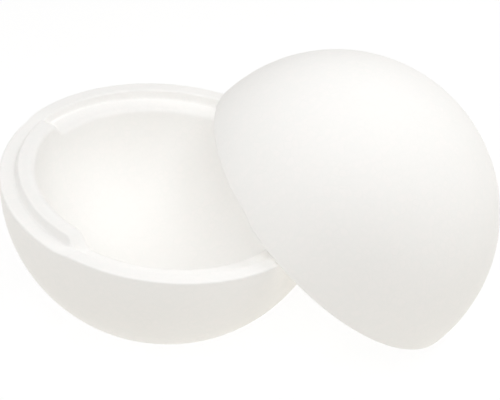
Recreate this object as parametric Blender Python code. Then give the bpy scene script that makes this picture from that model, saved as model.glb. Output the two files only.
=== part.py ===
"""A two-part hollow ball of expanded polystyrene, opened and set down on a floor.

One half lies as a bowl. The other stands on the lowest point of its rim and leans on the bowl's rim.
Both are the same moulding: the inner ring of the rim stands up as a tongue on two sides and drops as a
groove on the other two, so that two halves close when one is turned over and a quarter round.
Lengths are in metres and angles in degrees. The floor is z = 0, and the origin is under the pair's middle.
"""
import math

import bmesh
import bpy
from mathutils import Matrix, Vector
from mathutils.bvhtree import BVHTree

# Ball
BALL_RADIUS = 0.100
WALL = 0.021

# Rim, with heights from the parting plane through the ball's centre
TONGUE_WIDTH = 0.0104        # radial, at the top
TONGUE_HEIGHT = 0.0050
TONGUE_SPAN = 85.0           # angle from one end's mid-height to the other's
TONGUE_END_SLOPE = 7.5       # angle over which an end falls from the tongue's top to the groove's floor
TONGUES = 2
LAND_STEP = 0.0008           # the outer land lies this low beside a tongue, and this high beside a groove
STEP_LEAN = 0.0016           # how much wider a tongue is at its foot than at its top
JOINT_CLEARANCE = 0.0002     # between a tongue and the groove that it enters

# Moulded edges
OUTER_EDGE_ROUND = 0.0010
STEP_FOOT_ROUND = 0.0012     # between the land and the tongue's or groove's wall
STEP_TOP_ROUND = 0.0012      # at the far end of that wall
INNER_EDGE_ROUND = 0.0032

# How the halves stand
BOWL_TILT_RIGHT = 6.6        # the bowl's open side leans towards the other half
BOWL_TILT_BACK = 2.15
BOWL_TURN = 13.4             # the tongues' turn about the half's own axis
DOME_RISE = 48.3             # of the leaning half's pole above the floor
DOME_SWING = 1.35
DOME_TURN = 0.0
DOME_OFFSET = 0.0080         # of the leaning half's centre behind the bowl's
REST_GAP = 0.0006            # how far the leaning half is drawn back from first touch, along the floor

# Fineness of the mesh, with each angle that of one cell
FLAT_CELL = 6.0              # round a tongue or a groove
END_CELL = 1.5               # round the end of a tongue
WALL_CELL = 7.5              # from the pole to the rim
ROUND_CELL = 45.0            # across a rounded edge
SLIDE_STEP = 0.001           # of the search for the first touch
SLIDE_ERROR = REST_GAP / 5000

INNER_RADIUS = BALL_RADIUS - WALL
TONGUE_RADIUS = INNER_RADIUS + TONGUE_WIDTH
GROOVE_DEPTH = TONGUE_HEIGHT + JOINT_CLEARANCE
STEP_HEIGHT = TONGUE_HEIGHT + LAND_STEP

FOAM_COLOUR = (0.88, 0.87, 0.84, 1.0)
FOAM_ROUGHNESS = 0.8


def clear_scene():
    for old in list(bpy.data.objects):
        bpy.data.objects.remove(old)


def between(low, high, share):
    return low + (high - low) * share


def shell_radius(radius, height):
    """Distance from the axis to a sphere's wall, which goes on straight up above the parting plane."""
    below = min(height, 0.0)
    return math.sqrt(radius ** 2 - below ** 2)


def cells_in(span, cell):
    """How many cells of about that angle make up a span; both are in radians."""
    return max(1, round(span / cell))


def quarter_steps():
    """Sine and cosine pairs that take a rounded edge from one face to the next."""
    cells = cells_in(math.pi / 2, math.radians(ROUND_CELL))
    for step in range(cells + 1):
        angle = math.pi / 2 * step / cells
        yield math.sin(angle), math.cos(angle)


def rim_section(share):
    """Radius and height pairs from the rim's outside in; share is 1 in a tongue and 0 in a groove."""
    land = between(LAND_STEP, -LAND_STEP, share)
    ring = between(-GROOVE_DEPTH, TONGUE_HEIGHT, share)
    wall_foot = TONGUE_RADIUS + STEP_LEAN + JOINT_CLEARANCE * (1 - share)
    wall = wall_foot - STEP_LEAN * share
    foot = min(STEP_FOOT_ROUND, STEP_HEIGHT / 2)
    top = min(STEP_TOP_ROUND, STEP_HEIGHT / 2, TONGUE_WIDTH / 2)
    inner = min(INNER_EDGE_ROUND, TONGUE_WIDTH / 2)
    rise = ring - land
    points = []
    for sine, cosine in quarter_steps():
        height = land - OUTER_EDGE_ROUND * (1 - sine)
        radius = shell_radius(BALL_RADIUS, height) - OUTER_EDGE_ROUND * (1 - cosine)
        points.append((radius, height))
    for sine, cosine in quarter_steps():
        points.append((wall_foot + foot * (1 - sine), land + rise * foot / STEP_HEIGHT * (1 - cosine)))
    for sine, cosine in quarter_steps():
        points.append((wall - top * (1 - cosine), ring - rise * top / STEP_HEIGHT * (1 - sine)))
    for sine, cosine in quarter_steps():
        height = ring - inner * (1 - cosine)
        points.append((shell_radius(INNER_RADIUS, height) + inner * (1 - sine), height))
    return points


def sphere_rows(radius, lowest_edge):
    """Radius and height pairs on a bowl's wall, from beside its pole to just under its lowest edge."""
    end = math.acos(lowest_edge / radius)
    rows = cells_in(end, math.radians(WALL_CELL))
    angles = [end * row / rows for row in range(1, rows + 1)]
    return [(radius * math.sin(angle), -radius * math.cos(angle)) for angle in angles]


def rim_stations():
    """Angle and tongue share pairs once round the rim, closer together where a tongue ends."""
    stations = []
    slope = math.radians(TONGUE_END_SLOPE)
    tongue = math.radians(TONGUE_SPAN) - slope
    groove = 2 * math.pi / TONGUES - tongue - 2 * slope
    flat_cell = math.radians(FLAT_CELL)
    end_cell = math.radians(END_CELL)
    for number in range(TONGUES):
        angle = 2 * math.pi * number / TONGUES - tongue / 2
        for span, cell, start, end in (
            (tongue, flat_cell, 1, 1),
            (slope, end_cell, 1, 0),
            (groove, flat_cell, 0, 0),
            (slope, end_cell, 0, 1),
        ):
            cells = cells_in(span, cell)
            for step in range(cells):
                part = step / cells
                stations.append((angle + span * part, between(start, end, part * part * (3 - 2 * part))))
            angle += span
    return stations


def half_shell(name):
    """One half: its pole is down, its rim is round z = 0 and its tongues are centred on the X axis."""
    outer = sphere_rows(BALL_RADIUS, LAND_STEP + 2 * OUTER_EDGE_ROUND)
    inner = sphere_rows(INNER_RADIUS, GROOVE_DEPTH + 2 * INNER_EDGE_ROUND)
    shell = bmesh.new()
    outer_pole = shell.verts.new((0, 0, -BALL_RADIUS))
    inner_pole = shell.verts.new((0, 0, -INNER_RADIUS))
    columns = []
    for angle, share in rim_stations():
        section = outer + rim_section(share) + inner[::-1]
        across = math.cos(angle)
        along = math.sin(angle)
        points = [(radius * across, radius * along, height) for radius, height in section]
        columns.append([shell.verts.new(point) for point in points])
    for left, right in zip(columns, columns[1:] + columns[:1]):
        shell.faces.new((outer_pole, right[0], left[0]))
        for row in range(len(left) - 1):
            shell.faces.new((left[row], right[row], right[row + 1], left[row + 1]))
        shell.faces.new((left[-1], right[-1], inner_pole))
    bmesh.ops.recalc_face_normals(shell, faces=shell.faces)
    mesh = bpy.data.meshes.new(name)
    shell.to_mesh(mesh)
    shell.free()
    mesh.shade_smooth()
    mesh.set_sharp_from_angle(angle=math.radians(35))
    return mesh


def foam(name):
    """White, matt expanded polystyrene."""
    material = bpy.data.materials.new(name)
    material.use_nodes = True
    shader = material.node_tree.nodes["Principled BSDF"]
    shader.inputs["Base Color"].default_value = FOAM_COLOUR
    shader.inputs["Roughness"].default_value = FOAM_ROUGHNESS
    shader.inputs["Metallic"].default_value = 0.0
    return material


def turned(degrees, axis):
    return Matrix.Rotation(math.radians(degrees), 4, axis)


def on_floor(mesh, turn):
    """The turn, raised so that the mesh's lowest point is on the floor."""
    lowest = min((turn @ vertex.co).z for vertex in mesh.vertices)
    return Matrix.Translation((0, 0, -lowest)) @ turn


def touch_tree(mesh, place):
    return BVHTree.FromPolygons([place @ vertex.co for vertex in mesh.vertices],
                                [polygon.vertices for polygon in mesh.polygons])


def first_touch(bowl_mesh, bowl_place, dome_mesh, dome_place):
    """Distance along X between the halves' centres where the leaning half, slid in, first meets the bowl."""
    bowl = touch_tree(bowl_mesh, bowl_place)

    def touches(distance):
        shift = Matrix.Translation((distance, DOME_OFFSET, 0))
        return bool(bowl.overlap(touch_tree(dome_mesh, shift @ dome_place)))

    near = 2 * BALL_RADIUS
    while not touches(near):
        near -= SLIDE_STEP
    clear = near + SLIDE_STEP
    while clear - near > SLIDE_ERROR:
        middle = (near + clear) / 2
        if touches(middle):
            near = middle
        else:
            clear = middle
    return clear


def add_half(name, mesh, place):
    half = bpy.data.objects.new(name, mesh)
    half.data.materials.append(foam(name + "_foam"))
    half.location = place.to_translation()
    half.rotation_euler = place.to_euler()
    bpy.context.scene.collection.objects.link(half)
    return half


def floor_middle(halves):
    """The point under the middle of the box round the halves, on the floor."""
    bpy.context.view_layer.update()
    points = [half.matrix_world @ vertex.co for half in halves for vertex in half.data.vertices]
    low = [min(point[axis] for point in points) for axis in range(3)]
    high = [max(point[axis] for point in points) for axis in range(3)]
    return Vector(((low[0] + high[0]) / 2, (low[1] + high[1]) / 2, low[2]))


def build():
    clear_scene()
    bowl_mesh = half_shell("lying_half")
    dome_mesh = half_shell("leaning_half")
    bowl_turn = turned(-BOWL_TILT_BACK, "X") @ turned(BOWL_TILT_RIGHT, "Y") @ turned(BOWL_TURN, "Z")
    dome_turn = turned(DOME_SWING, "Z") @ turned(-90 - DOME_RISE, "Y") @ turned(DOME_TURN, "Z")
    bowl_place = on_floor(bowl_mesh, bowl_turn)
    dome_place = on_floor(dome_mesh, dome_turn)
    distance = first_touch(bowl_mesh, bowl_place, dome_mesh, dome_place) + REST_GAP
    dome_place = Matrix.Translation((distance, DOME_OFFSET, 0)) @ dome_place
    bowl = add_half("lying_half", bowl_mesh, bowl_place)
    dome = add_half("leaning_half", dome_mesh, dome_place)
    pair = bpy.data.objects.new("pair_origin", None)
    bpy.context.scene.collection.objects.link(pair)
    middle = floor_middle([bowl, dome])
    bowl.parent = pair
    dome.parent = pair
    pair.location = -middle


build()
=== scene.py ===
"""Looks of a hollow ball of expanded polystyrene that stands opened on a white table.

One half lies as a bowl, and the other stands on its rim and leans on the bowl. Both are one moulding, made by
one tree of geometry nodes from the ball's sizes: the section through a tongue and the section through a groove
are drawn as curves, and a grid is wrapped round the axis between them.
Lengths are in metres and angles in degrees, unless a name says otherwise.
"""

import math

import bpy
from mathutils import Matrix, Vector


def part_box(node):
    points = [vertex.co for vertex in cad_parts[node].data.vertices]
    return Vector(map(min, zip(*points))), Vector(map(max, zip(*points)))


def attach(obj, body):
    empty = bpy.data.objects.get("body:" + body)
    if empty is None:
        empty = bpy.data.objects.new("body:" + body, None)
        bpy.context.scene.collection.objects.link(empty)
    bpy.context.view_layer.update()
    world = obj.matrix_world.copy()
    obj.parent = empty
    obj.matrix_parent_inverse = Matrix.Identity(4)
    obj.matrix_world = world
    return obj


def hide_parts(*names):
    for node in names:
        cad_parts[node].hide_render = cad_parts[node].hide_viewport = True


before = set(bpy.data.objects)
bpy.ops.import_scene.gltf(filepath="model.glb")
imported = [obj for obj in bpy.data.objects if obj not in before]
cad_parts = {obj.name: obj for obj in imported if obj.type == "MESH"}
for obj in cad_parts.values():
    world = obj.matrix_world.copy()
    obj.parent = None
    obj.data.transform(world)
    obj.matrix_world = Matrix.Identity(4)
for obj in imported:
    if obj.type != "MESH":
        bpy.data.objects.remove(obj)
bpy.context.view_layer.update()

# The ball and its rim, with heights from the parting plane
BALL_RADIUS = 0.100
WALL = 0.021
TONGUE_WIDTH = 0.0104        # radial, at the top
TONGUE_HEIGHT = 0.0050
TONGUE_SPAN = 85.0           # angle from one end's mid-height to the other's
TONGUE_END_SLOPE = 7.5       # angle over which an end falls from the tongue's top to the groove's floor
TONGUES = 2
LAND_STEP = 0.0008           # the outer land lies this low beside a tongue, and this high beside a groove
STEP_LEAN = 0.0016           # how much wider a tongue is at its foot than at its top
JOINT_CLEARANCE = 0.0002     # between a tongue and the groove that it enters
OUTER_EDGE_ROUND = 0.0010
STEP_FOOT_ROUND = 0.0012     # between the land and the tongue's or groove's wall
STEP_TOP_ROUND = 0.0012      # at the far end of that wall
INNER_EDGE_ROUND = 0.0032

# How the halves stand
BOWL_TILT_RIGHT = 6.6        # the bowl's open side leans towards the other half
BOWL_TILT_BACK = 2.15
BOWL_TURN = 13.4             # the tongues' turn about the half's own axis
DOME_RISE = 48.3             # of the leaning half's pole above the floor
DOME_SWING = 1.35
DOME_TURN = 0.0

# Fineness of the mesh
COLUMNS = 480                # round the axis
ARC_POINTS = 40              # from a pole to the rim
ROUND_POINTS = 6             # across a rounded edge
FLAT_CUTS = 4                # across each flat between two rounded edges
MERGE_DISTANCE = 0.000001

# Foam, with the sizes of what bends the seams and opens them
BEAD_SIZE = 0.0042
BEAD_COLOURS = ("FCFCFB", "FEFDFC")
BEND_SIZE = 2 * BEAD_SIZE
BEND_REACH = BEAD_SIZE * 0.5
SEAM_WIDTH = 0.0006          # real seams are finer, but would be lost between two pixels
SEAM_COLOUR = "FBFBFA"
SEAM_DEPTH_MM = 0.008
SEAM_PATCH_SIZE = 4 * BEAD_SIZE
SEAM_PATCH_NOISE = (0.35, 0.7)
SEAM_OPENNESS = (0.35, 1.0)  # of the seams in the most closed and the most open patches
BEAD_CROWN_MM = 0.006
SKIN_GRAIN = 0.0007
SKIN_GRAIN_DEPTH_MM = 0.003
SKIN_GRAIN_NOISE = (0.3, 0.7)
SKIN_ROUGHNESS = (0.68, 0.8)
POLYSTYRENE_IOR = 1.59
MILLIMETRE = 0.001

# Table and room
WHITE = "FFFFFF"
TABLE_SIZE = 8.0
TABLE_COLOUR = "E8E7E4"
TABLE_GLOW_COLOUR = "FFFBF3"
TABLE_GLOW = 0.27
SHADED_WHITE = "FBFBFB"
SHADOW_SHARE = 0.2           # how much of the table's own shading the camera sees
SEEN_WHITE = 1.07            # with that share of shading mixed in, the open table comes out at 1
ROOM_COLOUR = "FFFBF5"
WORLD_LIGHT = 0.27

# Lamps: name, bearing with 0 on the camera's side and 90 on its right, elevation, and the light they give
LAMP_SIZE = 0.5
LAMP_DISTANCE = 0.8
LAMP_TARGET = (0.0, 0.0, 0.07)
SOFTBOXES = (
    ("front", 0, 55, 0.376),
    ("right_back", 120, 55, 0.30),
    ("left_back", 240, 55, 0.10),
    ("right_low", 90, 20, 0.13),
    ("left_low", 270, 20, 0.16),
)
HOLLOW_BOUNCES = 12          # light goes this often between the white walls of the hollow

# Camera
CAMERA_LENS_MM = 117.8
CAMERA_ELEVATION = 39.1
CAMERA_PLACE = (-0.0019, -0.7712, 0.7053)
SENSOR_MM = 36.0

# Names of kinds and sockets, and numbers of the sockets of a mix, whose names repeat
MATH = "ShaderNodeMath"
FLOAT = "NodeSocketFloat"
WHOLE = "NodeSocketInt"
SECTION_SIZES = ("Ball Radius", "Inner Radius", "Land Edge", "Ring Edge", "Land Height", "Ring Height")
SHELL_SIZES = ("Ball Radius", "Wall", "Tongue Width", "Tongue Height", "Tongue Span", "Tongue End Slope",
               "Land Step", "Step Lean", "Joint Clearance")
EDGE_ROUNDS = ("Outer Edge Round", "Step Foot Round", "Step Top Round", "Inner Edge Round")
SECTION_COUNTS = ("Arc Points", "Round Points", "Flat Cuts")
MIX_VECTOR_A, MIX_VECTOR_B, MIXED_VECTOR = 4, 5, 1
MIX_COLOUR_A, MIX_COLOUR_B, MIXED_COLOUR = 6, 7, 2

CORNERS = 4                  # of the rim's section
ROUNDS_CLEAR = 2.0           # how many roundings short of the rim's edge a wall's curve stops
POLE_ANGLE = -math.pi / 2
HALF_STEP = 0.5              # lies between two whole numbers that are compared


def linear(hex_colour):
    """The linear colour of an sRGB hex value."""
    shares = [int(hex_colour[start:start + 2], 16) / 255 for start in (0, 2, 4)]
    channels = [share / 12.92 if share <= 0.04045 else ((share + 0.055) / 1.055) ** 2.4 for share in shares]
    return channels + [1.0]


def add_node(tree, kind, links=None, output=0, **settings):
    """Adds a node with its settings and gives back one of its outputs.

    links gives an input, by name or number, its value or the output that feeds it. Where output is None, the
    node itself is given back.
    """
    node = tree.nodes.new(kind)
    for setting, value in settings.items():
        setattr(node, setting, value)
    for socket, value in (links or {}).items():
        if isinstance(value, bpy.types.NodeSocket):
            tree.links.new(value, node.inputs[socket])
        else:
            node.inputs[socket].default_value = value
    return node if output is None else node.outputs[output]


def new_tree(name, inputs):
    """A geometry tree with named inputs, the outputs that carry them and the input that takes its result."""
    tree = bpy.data.node_groups.new(name, "GeometryNodeTree")
    for label, kind in inputs:
        tree.interface.new_socket(label, in_out="INPUT", socket_type=kind)
    tree.interface.new_socket("Geometry", in_out="OUTPUT", socket_type="NodeSocketGeometry")
    return tree, tree.nodes.new("NodeGroupInput").outputs, tree.nodes.new("NodeGroupOutput").inputs[0]


def rim_section_tree():
    """The half's section from its outer pole to its inner one: one curve, with X from the axis and Z up.

    Its points are the outer wall's, then the rim's four corners, then the inner wall's.
    """
    tree, size, result = new_tree("rim_section", [(name, FLOAT) for name in SECTION_SIZES + EDGE_ROUNDS]
                                  + [(name, WHOLE) for name in SECTION_COUNTS])
    index = add_node(tree, "GeometryNodeInputIndex")
    last_outer = add_node(tree, MATH, {0: size["Arc Points"], 1: 1.0}, operation="SUBTRACT")
    first_inner = add_node(tree, MATH, {0: size["Arc Points"], 1: CORNERS}, operation="ADD")
    last_inner = add_node(tree, MATH, {0: first_inner, 1: last_outer}, operation="ADD")
    corner = add_node(tree, MATH, {0: index, 1: size["Arc Points"]}, operation="SUBTRACT")
    past_outer = add_node(tree, MATH, {0: index, 1: last_outer}, operation="GREATER_THAN")
    past_rim = add_node(tree, MATH, {0: corner, 1: CORNERS - HALF_STEP}, operation="GREATER_THAN")
    zone = add_node(tree, MATH, {0: past_outer, 1: past_rim}, operation="ADD")

    # Both walls, each as far as the place where its curve has to leave room for the rim's rounded edge
    walls = []
    for radius, edge, edge_round, first, last, pole_first in (
        ("Ball Radius", "Land Height", "Outer Edge Round", 0.0, last_outer, True),
        ("Inner Radius", "Ring Height", "Inner Edge Round", first_inner, last_inner, False),
    ):
        top = add_node(tree, MATH, {0: size[edge_round], 1: -ROUNDS_CLEAR, 2: size[edge]},
                       operation="MULTIPLY_ADD")
        curved = add_node(tree, MATH, {0: top, 1: 0.0}, operation="MINIMUM")
        sine = add_node(tree, MATH, {0: curved, 1: size[radius]}, operation="DIVIDE")
        stop = add_node(tree, MATH, {0: sine}, operation="ARCSINE")
        angle = add_node(tree, "ShaderNodeMapRange", {
            "Value": index,
            "From Min": first,
            "From Max": last,
            "To Min": POLE_ANGLE if pole_first else stop,
            "To Max": stop if pole_first else POLE_ANGLE,
        })
        arm = add_node(tree, "ShaderNodeCombineXYZ", {"X": size[radius]})
        walls.append(add_node(tree, "ShaderNodeVectorRotate",
                              {"Vector": arm, "Axis": (0.0, -1.0, 0.0), "Angle": angle}))

    rim = add_node(tree, "GeometryNodeIndexSwitch", {0: corner}, output=None, data_type="VECTOR")
    rounding = add_node(tree, "GeometryNodeIndexSwitch", {0: corner}, output=None, data_type="FLOAT")
    for switch in (rim, rounding):
        while len(switch.index_switch_items) < CORNERS:
            switch.index_switch_items.new()
    for number, (across, up, edge_round) in enumerate((
        ("Ball Radius", "Land Height", "Outer Edge Round"),
        ("Land Edge", "Land Height", "Step Foot Round"),
        ("Ring Edge", "Ring Height", "Step Top Round"),
        ("Inner Radius", "Ring Height", "Inner Edge Round"),
    ), start=1):
        point = add_node(tree, "ShaderNodeCombineXYZ", {"X": size[across], "Z": size[up]})
        tree.links.new(point, rim.inputs[number])
        tree.links.new(size[edge_round], rounding.inputs[number])
    place = add_node(tree, "GeometryNodeIndexSwitch", {0: zone}, output=None, data_type="VECTOR")
    place.index_switch_items.new()
    for number, source in enumerate((walls[0], rim.outputs[0], walls[1]), start=1):
        tree.links.new(source, place.inputs[number])

    points = add_node(tree, MATH, {0: last_inner, 1: 1.0}, operation="ADD")
    line = add_node(tree, "GeometryNodeMeshLine", {"Count": points})
    drawn = add_node(tree, "GeometryNodeSetPosition", {"Geometry": line, "Position": place.outputs[0]})
    curve = add_node(tree, "GeometryNodeMeshToCurve", {"Mesh": drawn})
    rounded = add_node(tree, "GeometryNodeFilletCurve", {
        "Curve": curve,
        "Count": size["Round Points"],
        "Radius": rounding.outputs[0],
    }, mode="POLY")

    # Each flat between two rounded edges gets cuts, which keep the edges' smooth shading off it
    cells = add_node(tree, MATH, {0: size["Round Points"], 1: 1.0}, operation="ADD")
    step = add_node(tree, MATH, {0: index, 1: last_outer}, operation="SUBTRACT")
    after_start = add_node(tree, MATH, {0: step, 1: -HALF_STEP}, operation="GREATER_THAN")
    length = add_node(tree, MATH, {0: cells, 1: CORNERS, 2: HALF_STEP}, operation="MULTIPLY_ADD")
    before_end = add_node(tree, MATH, {0: step, 1: length}, operation="LESS_THAN")
    on_rim = add_node(tree, MATH, {0: after_start, 1: before_end}, operation="MULTIPLY")
    place_in_edge = add_node(tree, MATH, {0: step, 1: cells}, operation="FLOORED_MODULO")
    leaves_edge = add_node(tree, MATH, {0: place_in_edge, 1: HALF_STEP}, operation="LESS_THAN")
    flat = add_node(tree, MATH, {0: on_rim, 1: leaves_edge}, operation="MULTIPLY")
    cuts = add_node(tree, MATH, {0: flat, 1: size["Flat Cuts"]}, operation="MULTIPLY")
    tree.links.new(add_node(tree, "GeometryNodeSubdivideCurve", {"Curve": rounded, "Cuts": cuts}), result)
    return tree


def half_shell_tree():
    """One half: its pole is down, its rim is round the parting plane and its tongues are centred on X."""
    tree, size, result = new_tree("half_shell", [(name, FLOAT) for name in SHELL_SIZES + EDGE_ROUNDS]
                                  + [(name, WHOLE) for name in SECTION_COUNTS + ("Tongues", "Columns")]
                                  + [("Material", "NodeSocketMaterial")])
    inner = add_node(tree, MATH, {0: size["Ball Radius"], 1: size["Wall"]}, operation="SUBTRACT")
    tongue_wall = add_node(tree, MATH, {0: inner, 1: size["Tongue Width"]}, operation="ADD")
    tongue_foot = add_node(tree, MATH, {0: tongue_wall, 1: size["Step Lean"]}, operation="ADD")
    groove_wall = add_node(tree, MATH, {0: tongue_foot, 1: size["Joint Clearance"]}, operation="ADD")
    depth = add_node(tree, MATH, {0: size["Tongue Height"], 1: size["Joint Clearance"]}, operation="ADD")
    groove_floor = add_node(tree, MATH, {0: depth, 1: -1.0}, operation="MULTIPLY")
    low_land = add_node(tree, MATH, {0: size["Land Step"], 1: -1.0}, operation="MULTIPLY")
    section_tree = rim_section_tree()
    tongue_section, groove_section = (
        add_node(tree, "GeometryNodeGroup", {
            **dict(zip(SECTION_SIZES, (size["Ball Radius"], inner, land_edge, ring_edge, land, ring))),
            **{name: size[name] for name in EDGE_ROUNDS + SECTION_COUNTS},
        }, node_tree=section_tree)
        for land_edge, ring_edge, land, ring in (
            (tongue_foot, tongue_wall, low_land, size["Tongue Height"]),
            (groove_wall, groove_wall, size["Land Step"], groove_floor),
        )
    )

    # One column of a grid for each angle, and one row for each point of the section
    rows = add_node(tree, "GeometryNodeAttributeDomainSize", {"Geometry": tongue_section},
                    output="Point Count", component="CURVE")
    columns = add_node(tree, MATH, {0: size["Columns"], 1: 1.0}, operation="ADD")
    grid = add_node(tree, "GeometryNodeMeshGrid", {"Vertices X": columns, "Vertices Y": rows})
    index = add_node(tree, "GeometryNodeInputIndex")
    row = add_node(tree, MATH, {0: index, 1: rows}, operation="FLOORED_MODULO")
    whole = add_node(tree, MATH, {0: index, 1: row}, operation="SUBTRACT")
    column = add_node(tree, MATH, {0: whole, 1: rows}, operation="DIVIDE")
    turn = add_node(tree, MATH, {0: column, 1: size["Columns"]}, operation="DIVIDE")
    angle = add_node(tree, MATH, {0: turn, 1: 2 * math.pi}, operation="MULTIPLY")

    # The share is 1 in a tongue and 0 in a groove, and falls smoothly over a tongue's end
    to_groove = add_node(tree, MATH, {0: math.pi, 1: size["Tongues"]}, operation="DIVIDE")
    from_tongue = add_node(tree, MATH, {0: angle, 1: to_groove}, operation="PINGPONG")
    flat_span = add_node(tree, MATH, {0: size["Tongue Span"], 1: size["Tongue End Slope"]},
                         operation="SUBTRACT")
    starts = add_node(tree, MATH, {0: flat_span, 1: 2.0}, operation="DIVIDE")
    stops = add_node(tree, MATH, {0: starts, 1: size["Tongue End Slope"]}, operation="ADD")
    share = add_node(tree, "ShaderNodeMapRange", {
        "Value": from_tongue,
        "From Min": starts,
        "From Max": stops,
        "To Min": 1.0,
        "To Max": 0.0,
    }, interpolation_type="SMOOTHSTEP")

    position = add_node(tree, "GeometryNodeInputPosition")
    tongue, groove = (
        add_node(tree, "GeometryNodeSampleIndex", {"Geometry": section, "Value": position, "Index": row},
                 data_type="FLOAT_VECTOR", domain="POINT")
        for section in (tongue_section, groove_section)
    )
    mixed = add_node(tree, "ShaderNodeMix", {0: share, MIX_VECTOR_A: groove, MIX_VECTOR_B: tongue},
                     output=MIXED_VECTOR, data_type="VECTOR")
    placed = add_node(tree, "ShaderNodeVectorRotate",
                      {"Vector": mixed, "Axis": (0.0, 0.0, 1.0), "Angle": angle})
    wrapped = add_node(tree, "GeometryNodeSetPosition", {"Geometry": grid, "Position": placed})
    closed = add_node(tree, "GeometryNodeMergeByDistance", {"Geometry": wrapped, "Distance": MERGE_DISTANCE})
    smooth = add_node(tree, "GeometryNodeSetShadeSmooth", {"Geometry": closed})
    real = add_node(tree, "GeometryNodeRealizeInstances", {"Geometry": smooth})
    finished = add_node(tree, "GeometryNodeSetMaterial", {"Geometry": real, "Material": size["Material"]})
    tree.links.new(finished, result)
    return tree


def mesh_from_tree(name, tree, sizes):
    """The plain mesh that a geometry tree makes of the named sizes."""
    carrier = bpy.data.objects.new(name + "_carrier", bpy.data.meshes.new(name + "_carrier"))
    bpy.context.scene.collection.objects.link(carrier)
    modifier = carrier.modifiers.new("form", "NODES")
    modifier.node_group = tree
    for item in tree.interface.items_tree:
        if item.in_out == "INPUT":
            modifier[item.identifier] = sizes[item.name]
    view = bpy.context.evaluated_depsgraph_get()
    mesh = bpy.data.meshes.new_from_object(carrier.evaluated_get(view), depsgraph=view)
    mesh.name = name
    bpy.data.objects.remove(carrier)
    return mesh


def turned(degrees, axis):
    return Matrix.Rotation(math.radians(degrees), 4, axis)


def box_middle(mesh):
    """The middle of a mesh's box."""
    low, high = (Vector([pick(vertex.co[axis] for vertex in mesh.vertices) for axis in range(3)])
                 for pick in (min, max))
    return (low + high) / 2


def add_half(name, node, mesh, turn):
    """Turns a half as it stands and sets it where its CAD node is."""
    mesh.transform(turn)
    low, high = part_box(node)
    mesh.transform(Matrix.Translation((low + high) / 2 - box_middle(mesh)))
    mesh.update()
    half = bpy.data.objects.new(name, mesh)
    bpy.context.scene.collection.objects.link(half)
    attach(half, "root")
    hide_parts(node)


def moulded_polystyrene():
    """Expanded polystyrene as it leaves a steam-heated mould.

    The eye gets a milky white, nearly matt skin of beads pressed flat against each other. Each bead is a
    shade lighter or darker than the next and a little crowned, and the seams between beads are finely sunk
    and open further in some places than in others.
    """
    material = bpy.data.materials.new("moulded_expanded_polystyrene")
    material.use_nodes = True
    tree = material.node_tree
    place = add_node(tree, "ShaderNodeTexCoord", output="Object")
    sway = add_node(tree, "ShaderNodeTexNoise", {"Vector": place, "Scale": 1 / BEND_SIZE, "Detail": 1.0},
                    output="Color")
    centred = add_node(tree, "ShaderNodeVectorMath", {0: sway, 1: (0.5, 0.5, 0.5)}, operation="SUBTRACT")
    bent = add_node(tree, "ShaderNodeVectorMath", {0: centred, 1: (BEND_REACH,) * 3, 2: place},
                    operation="MULTIPLY_ADD")
    beads = add_node(tree, "ShaderNodeTexVoronoi", {"Vector": bent, "Scale": 1 / BEAD_SIZE}, output=None)
    edge = add_node(tree, "ShaderNodeTexVoronoi", {"Vector": bent, "Scale": 1 / BEAD_SIZE},
                    feature="DISTANCE_TO_EDGE")
    seam = add_node(tree, "ShaderNodeMapRange", {
        "Value": edge,
        "From Min": 0.0,
        "From Max": SEAM_WIDTH / BEAD_SIZE,
        "To Min": 1.0,
        "To Max": 0.0,
    }, interpolation_type="SMOOTHSTEP")
    patches = add_node(tree, "ShaderNodeTexNoise",
                       {"Vector": place, "Scale": 1 / SEAM_PATCH_SIZE, "Detail": 2.0})
    opened = add_node(tree, "ShaderNodeMapRange", {
        "Value": patches,
        "From Min": SEAM_PATCH_NOISE[0],
        "From Max": SEAM_PATCH_NOISE[1],
        "To Min": SEAM_OPENNESS[0],
        "To Max": SEAM_OPENNESS[1],
    })
    seam_depth = add_node(tree, MATH, {0: seam, 1: opened}, operation="MULTIPLY")

    # Colour: each bead's own shade, darker in the seams
    shade = add_node(tree, "ShaderNodeSeparateColor", {"Color": beads.outputs["Color"]})
    darker, lighter = (linear(hex_colour) for hex_colour in BEAD_COLOURS)
    bead_colour = add_node(tree, "ShaderNodeMix", {0: shade, MIX_COLOUR_A: darker, MIX_COLOUR_B: lighter},
                           output=MIXED_COLOUR, data_type="RGBA")
    colour = add_node(tree, "ShaderNodeMix",
                      {0: seam_depth, MIX_COLOUR_A: bead_colour, MIX_COLOUR_B: linear(SEAM_COLOUR)},
                      output=MIXED_COLOUR, data_type="RGBA")

    # Relief, in millimetres
    grain = add_node(tree, "ShaderNodeTexNoise", {"Vector": place, "Scale": 1 / SKIN_GRAIN, "Detail": 2.0})
    crown = add_node(tree, MATH, {0: beads.outputs["Distance"], 1: -BEAD_CROWN_MM}, operation="MULTIPLY")
    sunk = add_node(tree, MATH, {0: seam_depth, 1: -SEAM_DEPTH_MM, 2: crown}, operation="MULTIPLY_ADD")
    relief = add_node(tree, MATH, {0: grain, 1: SKIN_GRAIN_DEPTH_MM, 2: sunk}, operation="MULTIPLY_ADD")
    bump = add_node(tree, "ShaderNodeBump", {"Strength": 1.0, "Distance": MILLIMETRE, "Height": relief})

    roughness = add_node(tree, "ShaderNodeMapRange", {
        "Value": grain,
        "From Min": SKIN_GRAIN_NOISE[0],
        "From Max": SKIN_GRAIN_NOISE[1],
        "To Min": SKIN_ROUGHNESS[0],
        "To Max": SKIN_ROUGHNESS[1],
    })
    shader = tree.nodes["Principled BSDF"]
    shader.inputs["IOR"].default_value = POLYSTYRENE_IOR
    tree.links.new(colour, shader.inputs["Base Color"])
    tree.links.new(roughness, shader.inputs["Roughness"])
    tree.links.new(bump, shader.inputs["Normal"])
    return material


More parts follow.
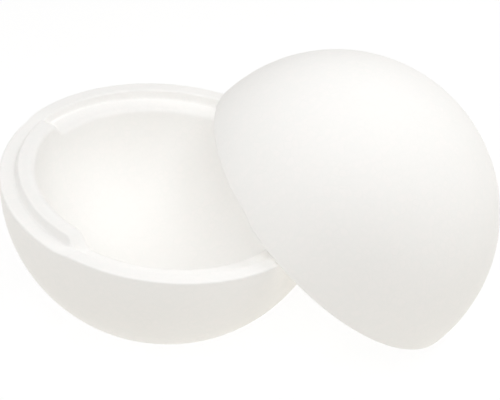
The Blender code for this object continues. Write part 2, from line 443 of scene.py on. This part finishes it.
def is_seen(tree):
    """1 for what the camera sees, straight or in a gloss or through glass, and 0 for light on its way."""
    path = add_node(tree, "ShaderNodeLightPath", output=None)
    straight = path.outputs["Is Camera Ray"]
    gloss = add_node(tree, MATH, {0: straight, 1: path.outputs["Is Glossy Ray"]}, operation="MAXIMUM")
    return add_node(tree, MATH, {0: gloss, 1: path.outputs["Is Transmission Ray"]}, operation="MAXIMUM")


def add_table():
    """A matt white table, softly lit from within, that the camera sees as white with the object's shadow."""
    material = bpy.data.materials.new("lit_white_table")
    material.use_nodes = True
    tree = material.node_tree
    tree.nodes.clear()
    matt = add_node(tree, "ShaderNodeBsdfDiffuse", {"Color": linear(TABLE_COLOUR)})
    glow = add_node(tree, "ShaderNodeEmission", {"Color": linear(TABLE_GLOW_COLOUR), "Strength": TABLE_GLOW})
    lights_object = add_node(tree, "ShaderNodeAddShader", {0: matt, 1: glow})
    shadow = add_node(tree, "ShaderNodeBsdfDiffuse", {"Color": linear(SHADED_WHITE)})
    white = add_node(tree, "ShaderNodeEmission", {"Color": linear(WHITE), "Strength": SEEN_WHITE})
    seen = add_node(tree, "ShaderNodeMixShader", {0: SHADOW_SHARE, 1: white, 2: shadow})
    surface = add_node(tree, "ShaderNodeMixShader", {0: is_seen(tree), 1: lights_object, 2: seen})
    add_node(tree, "ShaderNodeOutputMaterial", {"Surface": surface}, output=None)
    bpy.ops.mesh.primitive_plane_add(size=TABLE_SIZE)
    table = bpy.context.object
    table.name = "table"
    table.data.materials.append(material)


def add_room():
    """An even, dim white room that the camera sees as plain white."""
    world = bpy.data.worlds.new("studio")
    bpy.context.scene.world = world
    world.use_nodes = True
    tree = world.node_tree
    tree.nodes.clear()
    room = add_node(tree, "ShaderNodeBackground", {"Color": linear(ROOM_COLOUR), "Strength": WORLD_LIGHT})
    white = add_node(tree, "ShaderNodeBackground", {"Color": linear(WHITE), "Strength": 1.0})
    surface = add_node(tree, "ShaderNodeMixShader", {0: is_seen(tree), 1: room, 2: white})
    add_node(tree, "ShaderNodeOutputWorld", {"Surface": surface}, output=None)


def add_softbox(name, bearing, elevation, strength):
    """A square soft lamp that faces the object and gives a surface that faces it light of that strength."""
    lamp = bpy.data.objects.new(name, bpy.data.lights.new(name, "AREA"))
    lamp.data.shape = "SQUARE"
    lamp.data.size = LAMP_SIZE
    lamp.data.energy = strength * (math.pi * LAMP_DISTANCE) ** 2
    bearing_angle = math.radians(bearing)
    elevation_angle = math.radians(elevation)
    across = math.cos(elevation_angle)
    towards = Vector((math.sin(bearing_angle) * across, -math.cos(bearing_angle) * across,
                      math.sin(elevation_angle)))
    lamp.location = Vector(LAMP_TARGET) + towards * LAMP_DISTANCE
    lamp.rotation_euler = towards.to_track_quat("Z", "Y").to_euler()
    bpy.context.scene.collection.objects.link(lamp)


def add_camera():
    camera = bpy.data.objects.new("camera", bpy.data.cameras.new("camera"))
    camera.data.lens = CAMERA_LENS_MM
    camera.data.sensor_width = SENSOR_MM
    camera.location = CAMERA_PLACE
    camera.rotation_euler = (math.radians(90 - CAMERA_ELEVATION), 0, 0)
    bpy.context.scene.collection.objects.link(camera)
    bpy.context.scene.camera = camera


half_sizes = {
    "Ball Radius": BALL_RADIUS,
    "Wall": WALL,
    "Tongue Width": TONGUE_WIDTH,
    "Tongue Height": TONGUE_HEIGHT,
    "Tongue Span": math.radians(TONGUE_SPAN),
    "Tongue End Slope": math.radians(TONGUE_END_SLOPE),
    "Land Step": LAND_STEP,
    "Step Lean": STEP_LEAN,
    "Joint Clearance": JOINT_CLEARANCE,
    "Outer Edge Round": OUTER_EDGE_ROUND,
    "Step Foot Round": STEP_FOOT_ROUND,
    "Step Top Round": STEP_TOP_ROUND,
    "Inner Edge Round": INNER_EDGE_ROUND,
    "Arc Points": ARC_POINTS,
    "Round Points": ROUND_POINTS,
    "Flat Cuts": FLAT_CUTS,
    "Tongues": TONGUES,
    "Columns": COLUMNS,
    "Material": moulded_polystyrene(),
}
half_tree = half_shell_tree()
bowl_turn = turned(-BOWL_TILT_BACK, "X") @ turned(BOWL_TILT_RIGHT, "Y") @ turned(BOWL_TURN, "Z")
dome_turn = turned(DOME_SWING, "Z") @ turned(-90 - DOME_RISE, "Y") @ turned(DOME_TURN, "Z")
add_half("bowl", "lying_half", mesh_from_tree("bowl", half_tree, half_sizes), bowl_turn)
add_half("dome", "leaning_half", mesh_from_tree("dome", half_tree, half_sizes), dome_turn)

add_table()
add_room()
for softbox in SOFTBOXES:
    add_softbox(*softbox)
add_camera()
bpy.context.scene.view_settings.view_transform = "Standard"
bpy.context.scene.cycles.diffuse_bounces = HOLLOW_BOUNCES
